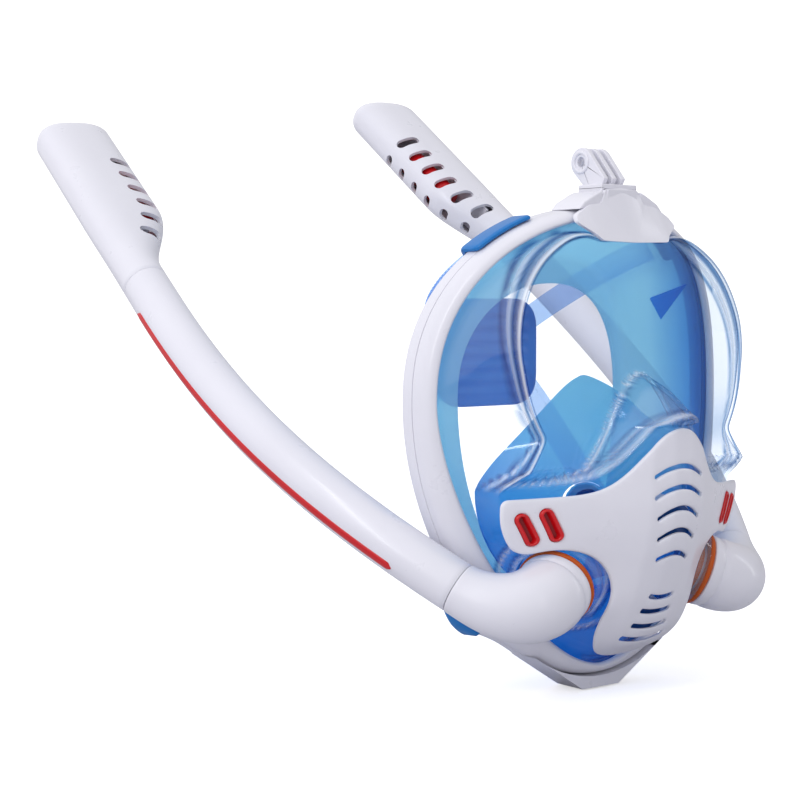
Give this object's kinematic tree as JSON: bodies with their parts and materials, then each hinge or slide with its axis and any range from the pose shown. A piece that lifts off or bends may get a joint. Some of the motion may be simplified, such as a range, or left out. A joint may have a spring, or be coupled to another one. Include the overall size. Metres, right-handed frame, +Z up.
{
  "type": "full face snorkel mask",
  "caption": "Full face snorkel mask with a clear visor, blue silicone skirt, white frame, slotted chin cover and a breathing tube with a dry top at each side.",
  "frame": {"origin": "middle of the face opening, on the midplane, held by the wearer's face", "axes": "+X to the wearer's left, +Y backwards out of the face opening, +Z up"},
  "size_m": [0.315, 0.4293, 0.3389],
  "materials": {
    "white_plastic": "smooth glossy moulded plastic",
    "clear_pane": "clear polished polycarbonate",
    "blue_silicone": "translucent silicone",
    "strap_blue": "solid silicone",
    "red_plastic": "satin moulded plastic",
    "orange_gasket": "soft translucent gasket",
    "flap_blue": "thin silicone"
  },
  "bodies": {
    "mask": {"front_frame": "white_plastic", "rear_frame": "white_plastic", "visor": "clear_pane", "top_clip": "white_plastic", "bottom_clip": "white_plastic", "face_skirt": "blue_silicone", "nose_cup": "blue_silicone", "chin_cover": "white_plastic", "harness_pad": "strap_blue", "exhale_valve_seat": "white_plastic", "purge_valve_seat": "white_plastic", "inhale_valve_seat_right": "white_plastic", "port_gasket_right": "orange_gasket", "slot_trim_right_outer": "red_plastic", "slot_trim_right_inner": "red_plastic", "strap_anchor_upper_right": "strap_blue", "strap_upper_right": "strap_blue", "strap_anchor_lower_right": "strap_blue", "strap_lower_right": "strap_blue", "inhale_valve_seat_left": "white_plastic", "port_gasket_left": "orange_gasket", "slot_trim_left_outer": "red_plastic", "slot_trim_left_inner": "red_plastic", "strap_anchor_upper_left": "strap_blue", "strap_upper_left": "strap_blue", "strap_anchor_lower_left": "strap_blue", "strap_lower_left": "strap_blue"},
    "camera_mount": {"camera_mount": "white_plastic"},
    "exhale_flap": {"exhale_valve_flap": "flap_blue"},
    "purge_flap": {"purge_valve_flap": "flap_blue"},
    "inhale_flap_right": {"inhale_valve_flap_right": "flap_blue"},
    "tube_right_assembly": {"elbow_right": "white_plastic", "elbow_o_ring_right": "orange_gasket", "tube_right": "white_plastic", "tube_stripe_right": "red_plastic", "tube_head_right": "white_plastic", "float_guide_right": "white_plastic", "head_o_ring_right": "orange_gasket"},
    "float_right": {"float_right": "red_plastic", "float_seal_right": "orange_gasket"},
    "inhale_flap_left": {"inhale_valve_flap_left": "flap_blue"},
    "tube_left_assembly": {"elbow_left": "white_plastic", "elbow_o_ring_left": "orange_gasket", "tube_left": "white_plastic", "tube_stripe_left": "red_plastic", "tube_head_left": "white_plastic", "float_guide_left": "white_plastic", "head_o_ring_left": "orange_gasket"},
    "float_left": {"float_left": "red_plastic", "float_seal_left": "orange_gasket"}
  },
  "joints": [
    {"name": "exhale_flap_lift", "type": "slide", "parent": "mask", "child": "exhale_flap", "axis": [0, -0.9798, -0.2], "range_m": [0, 0.0015], "stiffness_N_per_m": 80},
    {"name": "purge_flap_lift", "type": "slide", "parent": "mask", "child": "purge_flap", "axis": [0, -0.8873, -0.4612], "range_m": [0, 0.0013], "stiffness_N_per_m": 80},
    {"name": "camera_mount_slide", "type": "slide", "parent": "mask", "child": "camera_mount", "axis": [0, 1, 0], "range_m": [0, 0.016]},
    {"name": "inhale_flap_right_lift", "type": "slide", "parent": "mask", "child": "inhale_flap_right", "axis": [0.4821, 0.8761, 0], "range_m": [0, 0.0015], "stiffness_N_per_m": 80},
    {"name": "tube_right_swivel", "type": "hinge", "parent": "mask", "child": "tube_right_assembly", "pos_m": [-0.0522, -0.0076, -0.0909], "axis": [-0.824, -0.448, -0.347], "range_deg": [-20, 14]},
    {"name": "float_right_lift", "type": "slide", "parent": "tube_right_assembly", "child": "float_right", "axis": [0.0733, 0.8188, 0.5695], "range_m": [0, 0.022]},
    {"name": "inhale_flap_left_lift", "type": "slide", "parent": "mask", "child": "inhale_flap_left", "axis": [-0.4821, 0.8761, 0], "range_m": [0, 0.0015], "stiffness_N_per_m": 80},
    {"name": "tube_left_swivel", "type": "hinge", "parent": "mask", "child": "tube_left_assembly", "pos_m": [0.0522, -0.0076, -0.0909], "axis": [0.824, -0.448, -0.347], "range_deg": [-14, 20]},
    {"name": "float_left_lift", "type": "slide", "parent": "tube_left_assembly", "child": "float_left", "axis": [-0.0724, 0.7814, 0.6198], "range_m": [0, 0.022]}
  ]
}
